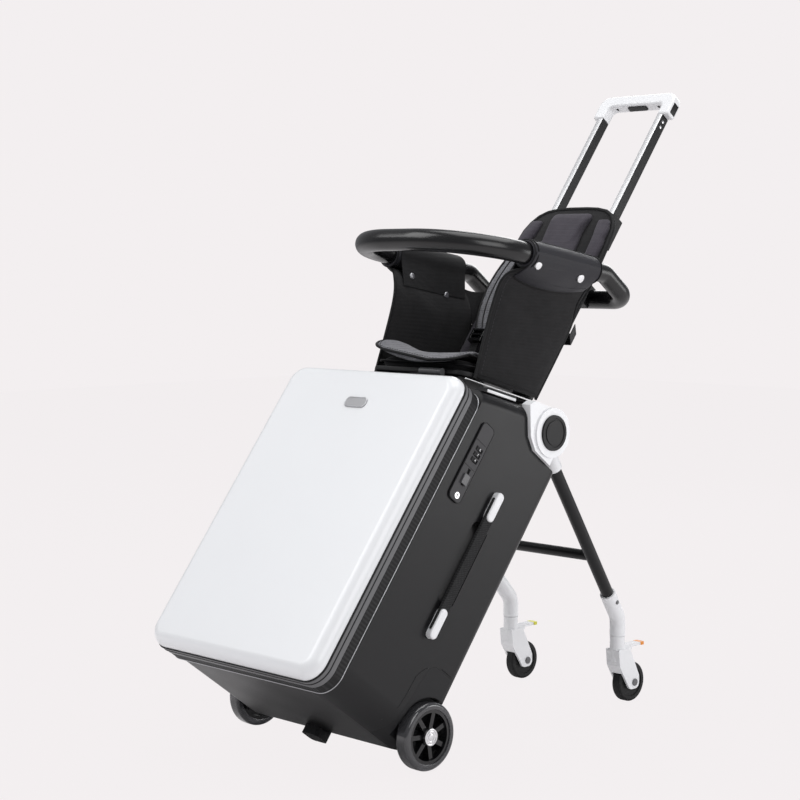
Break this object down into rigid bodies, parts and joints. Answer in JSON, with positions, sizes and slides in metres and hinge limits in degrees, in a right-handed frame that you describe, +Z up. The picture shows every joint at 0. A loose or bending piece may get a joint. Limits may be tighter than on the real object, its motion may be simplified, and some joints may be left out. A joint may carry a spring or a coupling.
{
  "type": "ride-on suitcase",
  "caption": "Cabin suitcase leaning back on fold-out rear legs with casters, a fabric child seat on its top, a bumper bar and a telescopic trolley handle.",
  "frame": {"origin": "floor level, at the middle of the overall width and length", "axes": "+Z up, -Y towards the white lid, +X to the side with the lock and carry handle"},
  "size_m": [0.4, 0.9415, 1.015],
  "materials": {
    "lid_white": "glossy moulded",
    "rim_grey": "satin",
    "gasket_black": "fine ribbed",
    "shell_black": "satin with fine grain",
    "housing_black": "fine grain",
    "black_plastic": "fine grain",
    "white_plastic": "glossy moulded",
    "bright_metal": "polished",
    "steel": "plain turned",
    "rod_alloy": "drawn, polished front",
    "tube_black": "satin powder coat",
    "clear_tyre": "clear and glossy",
    "hub_black": "glossy",
    "roller_black": "satin",
    "pedal_orange": "satin",
    "pedal_lime": "satin",
    "seat_fabric": "close woven",
    "back_fabric": "woven",
    "mesh_grey": "spacer mesh",
    "bar_foam": "smooth foam skin"
  },
  "bodies": {
    "case": {"back_shell": "shell_black", "rim_gasket": "gasket_black", "wheel_housings": "housing_black", "bottom_foot": "housing_black", "wheel_axles": "steel", "hinge_brackets": "white_plastic", "hinge_pins": "steel", "saddle": "housing_black", "case_hinge_leaves": "steel", "lock_plate": "black_plastic", "carry_caps": "white_plastic", "carry_strap": "seat_fabric", "trolley_sleeves": "rod_alloy", "lower_rods": "rod_alloy", "rod_clips": "black_plastic", "rear_loop": "bar_foam", "bar_sleeves": "seat_fabric", "seat_pan": "housing_black", "seat_brackets": "rod_alloy", "seat_rails": "white_plastic", "seat_cushion": "seat_fabric", "seat_mat": "mesh_grey", "backrest": "back_fabric", "side_panels": "seat_fabric", "harness_bands": "mesh_grey", "harness_buckles": "black_plastic", "back_strap": "seat_fabric"},
    "lid": {"lid_shell": "lid_white", "lid_rim": "rim_grey", "lid_plate": "bright_metal", "lid_hinge_leaves": "steel"},
    "legs": {"leg_knuckles": "white_plastic", "leg_tubes": "tube_black", "leg_sockets": "white_plastic", "leg_crossbar": "tube_black"},
    "handle": {"upper_rods": "rod_alloy", "grip": "white_plastic"},
    "grip_button": {"grip_button": "black_plastic"},
    "bumper": {"bumper_bar": "bar_foam"},
    "latch": {"lock_latch": "bright_metal"},
    "key": {"key_cylinder": "bright_metal"},
    "wheel_right": {"wheel_tyre_right": "clear_tyre", "wheel_hub_right": "hub_black", "wheel_cap_right": "bright_metal"},
    "caster_right": {"caster_fork_right": "white_plastic", "caster_bolt_right": "steel"},
    "roller_right": {"caster_wheel_right": "roller_black"},
    "pedal_right": {"brake_pedal_right": "pedal_orange"},
    "button_right": {"hinge_button_right": "black_plastic"},
    "wheel_left": {"wheel_tyre_left": "clear_tyre", "wheel_hub_left": "hub_black", "wheel_cap_left": "bright_metal"},
    "caster_left": {"caster_fork_left": "white_plastic", "caster_bolt_left": "steel"},
    "roller_left": {"caster_wheel_left": "roller_black"},
    "pedal_left": {"brake_pedal_left": "pedal_lime"},
    "button_left": {"hinge_button_left": "black_plastic"},
    "dial_1": {"lock_dial_1": "black_plastic"},
    "dial_2": {"lock_dial_2": "black_plastic"},
    "dial_3": {"lock_dial_3": "black_plastic"}
  },
  "joints": [
    {"name": "lid_hinge", "type": "hinge", "parent": "case", "child": "lid", "pos_m": [-0.1915, -0.29548, 0.34624], "axis": [0, -0.6018, -0.7986], "range_deg": [0, 110]},
    {"name": "leg_fold", "type": "hinge", "parent": "case", "child": "legs", "pos_m": [0, 0.00974, 0.47072], "axis": [-1, 0, 0], "range_deg": [0, 50]},
    {"name": "handle_slide", "type": "slide", "parent": "case", "child": "handle", "axis": [0, -0.6018, -0.7986], "range_m": [0, 0.18]},
    {"name": "grip_button_press", "type": "slide", "parent": "handle", "child": "grip_button", "axis": [0, 0.6018, 0.7986], "range_m": [0, 0.003], "stiffness_N_per_m": 300, "springref_m": -0.002},
    {"name": "bumper_pull", "type": "slide", "parent": "case", "child": "bumper", "axis": [0, -0.9863, 0.165], "range_m": [0, 0.12]},
    {"name": "latch_slide", "type": "slide", "parent": "case", "child": "latch", "axis": [0, 0.6018, 0.7986], "range_m": [0, 0.008]},
    {"name": "key_turn", "type": "hinge", "parent": "case", "child": "key", "pos_m": [0.187, -0.19399, 0.3931], "axis": [1, 0, 0], "range_deg": [0, 90]},
    {"name": "wheel_spin_right", "type": "hinge", "parent": "case", "child": "wheel_right", "pos_m": [0.175, -0.25545, 0.05], "axis": [1, 0, 0], "continuous": true},
    {"name": "caster_swivel_right", "type": "hinge", "parent": "legs", "child": "caster_right", "pos_m": [0.119, 0.26225, 0.1136], "axis": [0, 0, 1], "continuous": true},
    {"name": "caster_spin_right", "type": "hinge", "parent": "caster_right", "child": "roller_right", "pos_m": [0.119, 0.29125, 0.033], "axis": [1, 0, 0], "continuous": true},
    {"name": "brake_press_right", "type": "hinge", "parent": "caster_right", "child": "pedal_right", "pos_m": [0.119, 0.28275, 0.0945], "axis": [-1, 0, 0], "range_deg": [0, 12]},
    {"name": "hinge_button_press_right", "type": "slide", "parent": "case", "child": "button_right", "axis": [-1, 0, 0], "range_m": [0, 0.003], "stiffness_N_per_m": 400, "springref_m": -0.001},
    {"name": "wheel_spin_left", "type": "hinge", "parent": "case", "child": "wheel_left", "pos_m": [-0.175, -0.25545, 0.05], "axis": [1, 0, 0], "continuous": true},
    {"name": "caster_swivel_left", "type": "hinge", "parent": "legs", "child": "caster_left", "pos_m": [-0.119, 0.26225, 0.1136], "axis": [0, 0, 1], "continuous": true},
    {"name": "caster_spin_left", "type": "hinge", "parent": "caster_left", "child": "roller_left", "pos_m": [-0.119, 0.29125, 0.033], "axis": [1, 0, 0], "continuous": true},
    {"name": "brake_press_left", "type": "hinge", "parent": "caster_left", "child": "pedal_left", "pos_m": [-0.119, 0.28275, 0.0945], "axis": [-1, 0, 0], "range_deg": [0, 12]},
    {"name": "hinge_button_press_left", "type": "slide", "parent": "case", "child": "button_left", "axis": [1, 0, 0], "range_m": [0, 0.003], "stiffness_N_per_m": 400, "springref_m": -0.001},
    {"name": "dial_turn_1", "type": "hinge", "parent": "case", "child": "dial_1", "pos_m": [0.184, -0.15788, 0.44102], "axis": [0, 0.6018, 0.7986], "continuous": true},
    {"name": "dial_turn_2", "type": "hinge", "parent": "case", "child": "dial_2", "pos_m": [0.184, -0.15247, 0.44821], "axis": [0, 0.6018, 0.7986], "continuous": true},
    {"name": "dial_turn_3", "type": "hinge", "parent": "case", "child": "dial_3", "pos_m": [0.184, -0.14705, 0.45539], "axis": [0, 0.6018, 0.7986], "continuous": true}
  ]
}
